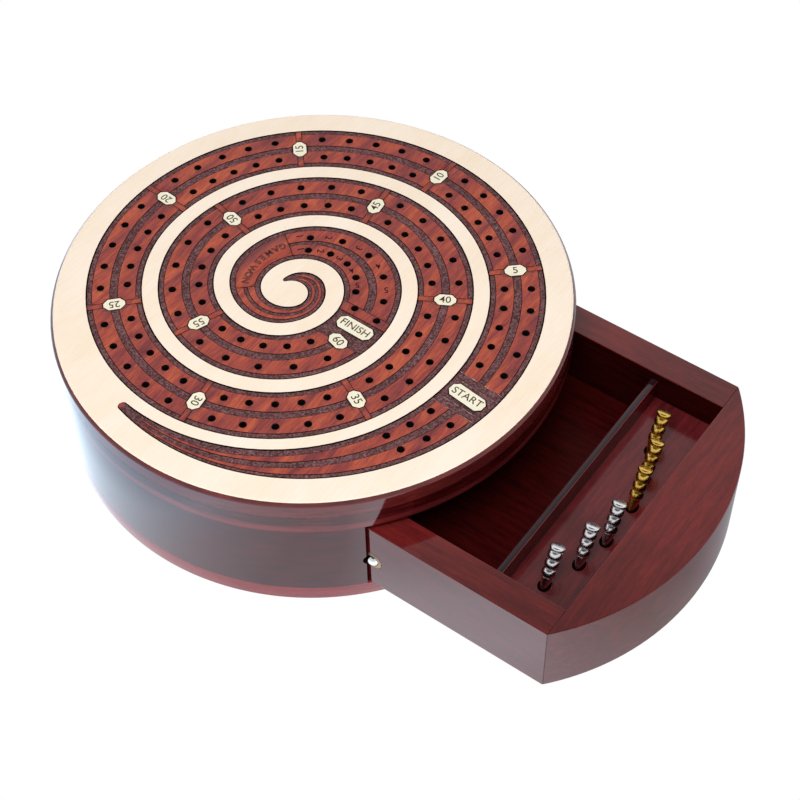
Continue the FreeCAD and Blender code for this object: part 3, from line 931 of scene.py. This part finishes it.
def plaque_pocket(pockets, node):
    """The burned pocket of a plaque, a little larger than the plaque all round."""
    middle, radial = plaque_place(node)
    place = across_frame(middle, radial, 0)
    plaque = flattened_copy(node)
    back = place.inverted()
    bmesh.ops.transform(plaque, matrix=back, verts=plaque.verts)
    half = Vector([max(vert.co[axis] for vert in plaque.verts) for axis in range(2)])
    grow = Matrix.Diagonal((1 + PLAQUE_KERF / half.x, 1 + PLAQUE_KERF / half.y, 1, 1))
    bmesh.ops.transform(plaque, matrix=place @ grow, verts=plaque.verts)
    for vert in plaque.verts:
        vert.co.z = SURFACE - POCKET_DEPTH if vert.co.z < BODY_TOP - MM else SURFACE + MM
    for face in plaque.faces:
        face.material_index = KERF
    mesh = mesh_from(plaque, "pocket")
    pockets.from_mesh(mesh)
    bpy.data.meshes.remove(mesh)


def spiral_inlay():
    pockets, holes = bmesh.new(), bmesh.new()
    for node in PLAQUES:
        plaque_pocket(pockets, node)
    for centre in hole_places():
        top = Vector((centre.x, centre.y, BODY_TOP + MM))
        bottom = Vector((centre.x, centre.y, BODY_TOP - HOLE_DEPTH))
        rod(holes, bottom, top, HOLE_RADIUS, HOLE_SIDES, HOLE)
    shape = carved(track_sheet(), [pockets, holes])
    # The peg holes' walls take painted shade
    parts = [lane_wood, engraved, scored, kerf, hole_painted_shade, glint_fleck_line]
    finished("spiral_inlay", shape, parts, "box", ["spiral_track"])


spiral_inlay()

# ---------------------------------------------------------------- plaques and lettering

TILE_EDGE = 0.12 * MM
WORD_SIZE = 4.5 * MM
NUMBER_SIZE = 4.6 * MM
NUMERAL_SIZE = 3.9 * MM
OUTER_NUMERALS = [(20.0, 22.4), (26.0, 12.4), (28.3, -0.7), (25.1, -12.7), (16.7, -22.7)]
INNER_NUMERALS = [(14.7, 17.7), (18.4, 10.7), (19.5, 2.3), (17.3, -5.5), (12.3, -12.1)]
# Each letter and its angle about the middle; an outline shows round a paler fill
GAMES_LETTERS = [
    ("G", 64.1), ("A", 70.4), ("M", 77.4), ("E", 84.6), ("S", 90.8), ("W", 99.9), ("O", 107.0), ("N", 113.8),
]
GAMES_RADIUS = 26.9 * MM
GAMES_SIZE = 3.9 * MM
OUTLINE_BOLD, FILL_BOLD = 0.14 * MM, -0.05 * MM
NUMERAL_BOLD, WORD_BOLD = 0.05 * MM, 0.03 * MM


def plaque_tiles():
    """The small pale tiles, each with its own word or number burned into it."""
    for node in PLAQUES:
        middle, radial = plaque_place(node)
        shape = flattened_copy(node)
        name = node.split("_")[1]
        top = [face for face in shape.faces if face.normal.z > 0.9]
        for vert in {vert for face in top for vert in face.verts}:
            vert.co.z = SURFACE
        bmesh.ops.inset_region(shape, faces=top, thickness=TILE_EDGE, use_even_offset=True)
        for face in shape.faces:
            face.material_index = 0 if face in top else 1
        finished("tile_" + name, shape, [plaque_wood, ink], "box", [node])
        size = NUMBER_SIZE if name.isdigit() else WORD_SIZE
        text = bmesh.new()
        place = across_frame(middle, radial, LETTERING)
        letters(text, name.upper().lstrip("0"), size, place, LETTERING, bold=WORD_BOLD)
        finished("words_" + name, text, [ink], "box")


def numerals():
    """The small numbers beside the games-won holes, their tops turned clockwise."""
    text = bmesh.new()
    for row in (OUTER_NUMERALS, INNER_NUMERALS):
        for count, place in enumerate(row, 1):
            middle = Vector((*place, 0)) * MM
            turned = across_frame(middle, -radial_at(middle), LETTERING)
            letters(text, str(count), NUMERAL_SIZE, turned, LETTERING, bold=NUMERAL_BOLD)
    finished("games_numerals", text, [outline_wood], "box")


def games_words():
    """The outlined letters between the two bars, read counter-clockwise with their tops inward."""
    text = bmesh.new()
    for letter, angle in GAMES_LETTERS:
        middle = CENTRE_A + outward(angle) * GAMES_RADIUS
        place = across_frame(middle, outward(angle + 90), LETTERING)
        letters(text, letter, GAMES_SIZE, place, LETTERING - 0.01 * MM, 0, OUTLINE_BOLD)
        letters(text, letter, GAMES_SIZE, place, LETTERING, 1, FILL_BOLD)
    finished("games_won_words", text, [outline_wood, letter_fill], "box")


plaque_tiles()
numerals()
games_words()

# ---------------------------------------------------------------- drawer

RIGHT, BACKWARD = Vector((1, 0, 0)), Vector((0, 1, 0))


def drawer_piece(name, node, materials, width=0.35, facing=None):
    """A board of the drawer with softened edges. Its top, its other sides and the one side that faces a given
    way take lighter and darker
    copies of the same stain: painted light and shade."""
    shape = flattened_copy(node)
    soften(shape, sharp_edges(shape), width * MM)
    shape.normal_update()
    if len(materials) > 1:
        for face in shape.faces:
            if face.normal.z < 0.7:
                face.material_index = 1
            if facing and face.normal.dot(facing) > 0.95:
                face.material_index = 2
    finished(name, shape, materials, "drawer", [node], smooth=40, even=True)


# Each board's top, sides and inner face take lighter and darker copies of one stain: painted light and shade
drawer_piece("wall_left", "drawer_side_left", [rim_wood, shaded_side_wood, shaded_inside_wood], facing=RIGHT)
drawer_piece("wall_right", "drawer_side_right", [rim_wood, shaded_side_wood, shaded_inside_wood], facing=-RIGHT)
drawer_piece("wall_back", "drawer_back", [front_wood, shaded_bow_wood, shaded_inside_wood], facing=-BACKWARD)
drawer_piece("bow_front", "drawer_front", [front_wood, shaded_bow_wood, shaded_inside_wood], facing=BACKWARD)
# The divider's top takes the painted dark reflection
drawer_piece("thin_divider", "divider", [front_wood, shaded_side_wood, ledge_painted_reflection], 0.8, facing=UP)
drawer_piece("bay_floor", "drawer_floor", [shaded_inside_wood], 0.1)

# ---------------------------------------------------------------- peg rack and pegs

PEGS = ["silver_peg_1", "silver_peg_2", "silver_peg_3", "gold_peg_1", "gold_peg_2", "gold_peg_3"]
LEAN, HEADING = math.radians(34), math.radians(4.5)
PEG_AXIS = Vector((
    math.sin(LEAN) * math.cos(HEADING), math.sin(LEAN) * math.sin(HEADING), math.cos(LEAN),
))
RACK_HOLE = 1.7 * MM
RACK_HOLE_SIDES = 28
RACK_MOUTH = 2.5 * MM
MOUTH_DEPTH = 3.5 * MM

# A peg in mm, as (radius, height) from its tip up; the cap's curve is (past the cap's radius, height)
PEG_TAPER = [(0, 0), (0.85, 0), (1.0, 0.2), (1.45, 9.5), (2.15, 13.0)]
NECK = (2.25, 13.5)
BEAD_RADIUS, WAIST_RADIUS, BEAD_LENGTH, BEADS = 2.75, 1.65, 3.65, 3
BEAD_STEPS, BEAD_FULLNESS = 12, 0.85
CAP_RADIUS = 3.0
CAP_CURVE = [
    (-1.1, 0.0), (-0.6, 0.12), (-0.28, 0.35), (-0.08, 0.65), (0, 1.0), (-0.04, 1.32), (-0.14, 1.58),
    (-0.3, 1.74), (-0.5, 1.83), (-1.0, 1.94), (-1.6, 2.01), (-2.3, 2.05),
]
CAP_HEIGHT = 2.06


def peg_foot(node):
    """The middle of a peg's lower end."""
    places = [vert.co for vert in nodes[node].data.vertices]
    lowest = min(place.dot(PEG_AXIS) for place in places)
    end = [place for place in places if place.dot(PEG_AXIS) < lowest + SAME_LEVEL]
    low, high = (Vector([pick(place[axis] for place in end) for axis in range(3)]) for pick in (min, max))
    return (low + high) / 2


def peg_profile():
    """Radius and height: a taper, a neck, three round beads and a low domed cap."""
    points = PEG_TAPER + [NECK]
    height = NECK[1]
    for _ in range(BEADS):
        for turn in range(1, BEAD_STEPS):
            angle = math.pi * turn / BEAD_STEPS
            swell = (BEAD_RADIUS - WAIST_RADIUS) * math.sin(angle) ** BEAD_FULLNESS
            points.append((WAIST_RADIUS + swell, height + BEAD_LENGTH * (1 - math.cos(angle)) / 2))
        height += BEAD_LENGTH
        points.append((WAIST_RADIUS, height))
    points += [(CAP_RADIUS + inward, height + along) for inward, along in CAP_CURVE]
    points.append((0, height + CAP_HEIGHT))
    return [(radius * MM, along * MM) for radius, along in points]


def pegs():
    turn = UP.rotation_difference(PEG_AXIS).to_matrix().to_4x4()
    for node in PEGS:
        shape = lathe(peg_profile(), 40)
        bmesh.ops.transform(shape, matrix=Matrix.Translation(peg_foot(node)) @ turn, verts=shape.verts)
        metal, slot = (silver, "silver_metal") if node.startswith("silver") else (gold, "gold_metal")
        finished("turned_" + node, shape, [metal], node, [node], smooth=45)


def rack():
    """The peg rack, drilled aslant, with a wider mouth to each hole."""
    low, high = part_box("peg_rack")
    block, holes, mouths = bmesh.new(), bmesh.new(), bmesh.new()
    slab(block, low, high)
    for node in PEGS:
        foot = peg_foot(node)
        start = foot - PEG_AXIS * 0.2 * MM
        mouth = foot + PEG_AXIS * (high.z - foot.z) / PEG_AXIS.z
        inner = mouth - PEG_AXIS * MOUTH_DEPTH
        outer = mouth + PEG_AXIS * MOUTH_DEPTH
        rod(holes, start, outer, RACK_HOLE, RACK_HOLE_SIDES, 1)
        rod(mouths, inner, outer, RACK_HOLE, RACK_HOLE_SIDES, 1, 2 * RACK_MOUTH - RACK_HOLE)
    shape = carved(block, [holes, mouths])
    # The rack's holes take painted shade
    finished("drilled_rack", shape, [rack_wood, hole_painted_shade], "drawer", ["peg_rack"])


pegs()
rack()

# ---------------------------------------------------------------- ball catch


def catch():
    """A steel ball behind the lip of a brass cup in the drawer's left wall, with its spring behind it."""
    ball = bmesh.new()
    radius = (BALL_HIGH.y - BALL_LOW.y) / 2
    bmesh.ops.create_uvsphere(ball, u_segments=32, v_segments=20, radius=radius)
    bmesh.ops.translate(ball, verts=ball.verts, vec=CATCH)
    finished("round_catch_ball", ball, [steel], "catch_ball", ["catch_ball"], smooth=60)
    nodes["catch_sleeve"].data.materials.clear()
    nodes["catch_sleeve"].data.materials.append(brass)
    coil = finished(
        "spring_coil", flattened_copy("catch_spring"), [wire], "drawer", ["catch_spring"],
    )
    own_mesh(coil)


catch()

# ---------------------------------------------------------------- floor, light and camera

# What the table and the room give out, apart from what the lacquer and the metal mirror of them
ROOM_LIGHT = 0.2
TABLE_LIGHT = 1.6
MIRROR_GAIN = 2.3
ROOM_GAIN = 1.05

# The mirrored table runs from left to right across the camera's view, and so does the room's back
TABLE_FROM, TABLE_TO, TABLE_TURN = -0.15, 0.25, 30
ROOM_TURN = -37

CAMERA_PLACE = Vector((-353.8438, -305.4273, 573.6505)) * MM
CAMERA_TURN = (38.705, 0.7965, -54.1879)
CAMERA_LENS = 80.5555
SENSOR_WIDTH = 36.0


def light_path_sum(tree, *names):
    """1 for the kinds of ray that are named, and 0 for the rest."""
    path = tree.nodes.new("ShaderNodeLightPath")
    total = path.outputs[names[0]]
    for name in names[1:]:
        both = tree.nodes.new("ShaderNodeMath")
        both.operation = "MAXIMUM"
        tree.links.new(total, both.inputs[0])
        tree.links.new(path.outputs[name], both.inputs[1])
        total = both.outputs[0]
    return total


def times(tree, colour, gain):
    return mixed(tree, 1.0, colour, (*grey(gain), 1), "MULTIPLY")


def stage_white():
    """A light table, white to the camera; in reflections it is bluish far left and dim to the right."""
    material, tree, shader = material_of("pale_table")
    tree.nodes.remove(shader)
    split = tree.nodes.new("ShaderNodeSeparateXYZ")
    tree.links.new(placed(tree, (1, 1, 1), TABLE_TURN), split.inputs[0])
    side = tree.nodes.new("ShaderNodeMapRange")
    set_values(side, From_Min=TABLE_FROM, From_Max=TABLE_TO)
    tree.links.new(split.outputs["X"], side.inputs["Value"])
    mirrored = ramp(tree, side.outputs["Result"], [
        (0.06, (0.46, 0.62, 0.78)), (0.1, (0.68, 0.83, 0.98)), (0.15, (0.66, 0.68, 0.75)),
        (0.22, (0.56, 0.56, 0.61)), (0.285, (0.58, 0.58, 0.64)), (0.325, (0.78, 0.78, 0.85)),
        (0.37, (0.82, 0.82, 0.9)), (0.465, (0.48, 0.48, 0.51)), (0.55, grey(0.27)),
        (0.63, (0.17, 0.17, 0.18)), (0.8, (0.16, 0.16, 0.18)), (1.0, (0.66, 0.74, 0.82)),
    ])
    gloss = light_path_sum(tree, "Is Glossy Ray")
    lit = mixed(tree, gloss, (*grey(TABLE_LIGHT), 1), times(tree, mirrored, MIRROR_GAIN))
    seen = light_path_sum(tree, "Is Camera Ray", "Is Transmission Ray")
    bright = tree.nodes.new("ShaderNodeEmission")
    tree.links.new(mixed(tree, seen, lit, (1, 1, 1, 1)), bright.inputs["Color"])
    tree.links.new(bright.outputs[0], tree.nodes["Material Output"].inputs["Surface"])
    return material


def table():
    shape = bmesh.new()
    bmesh.ops.create_grid(shape, x_segments=1, y_segments=1, size=4.0)
    mesh = mesh_from(shape, "table")
    mesh.materials.append(stage_white())
    linked("table", mesh)


def room():
    """A pale room whose ceiling is dim in reflections, and brightest low down behind the table."""
    world = bpy.data.worlds.new("soft_room")
    world.use_nodes = True
    bpy.context.scene.world = world
    tree = world.node_tree
    sky = tree.nodes["Background"]
    where = tree.nodes.new("ShaderNodeTexCoord")
    mapping = tree.nodes.new("ShaderNodeMapping")
    set_values(mapping, Rotation=(0, 0, math.radians(ROOM_TURN)))
    tree.links.new(where.outputs["Generated"], mapping.inputs["Vector"])
    split = tree.nodes.new("ShaderNodeSeparateXYZ")
    tree.links.new(mapping.outputs["Vector"], split.inputs[0])
    back = ramp(tree, split.outputs["Z"], [
        (0.0, grey(0.8)), (0.7, grey(0.95)), (0.76, grey(0.85)), (0.8, grey(0.62)), (0.82, grey(0.56)),
        (0.85, grey(0.4)), (1.0, grey(0.03)),
    ])
    front = ramp(tree, split.outputs["Z"], [
        (0.0, grey(0.8)), (0.62, grey(0.8)), (0.75, grey(0.1)), (1.0, grey(0.03)),
    ])
    behind = ramp(tree, split.outputs["X"], [(0.1, grey(0)), (0.4, grey(1))])
    mirrored = times(tree, mixed(tree, behind, front, back), ROOM_GAIN)
    lit = mixed(tree, light_path_sum(tree, "Is Glossy Ray"), (*grey(ROOM_LIGHT), 1), mirrored)
    seen = light_path_sum(tree, "Is Camera Ray", "Is Transmission Ray")
    tree.links.new(mixed(tree, seen, lit, (1, 1, 1, 1)), sky.inputs["Color"])
    set_values(sky, Strength=1.0)


def lamp(name, place, aim, size, power):
    light = bpy.data.lights.new(name, "AREA")
    light.shape = "DISK"
    light.size = size
    light.energy = power
    item = linked(name, light)
    item.location = place
    item.rotation_euler = (Vector(place) - Vector(aim)).to_track_quat("Z", "Y").to_euler()
    item.visible_glossy = False


def camera():
    data = bpy.data.cameras.new("camera")
    data.sensor_width = SENSOR_WIDTH
    data.lens = CAMERA_LENS
    item = linked("camera", data)
    item.location = CAMERA_PLACE
    item.rotation_euler = Euler([math.radians(angle) for angle in CAMERA_TURN])
    bpy.context.scene.camera = item


table()
room()
lamp("soft_overhead", (-0.35, -0.2, 1.1), (0, 0, 0), 0.8, 12.8)
camera()
bpy.context.scene.view_settings.view_transform = "Standard"
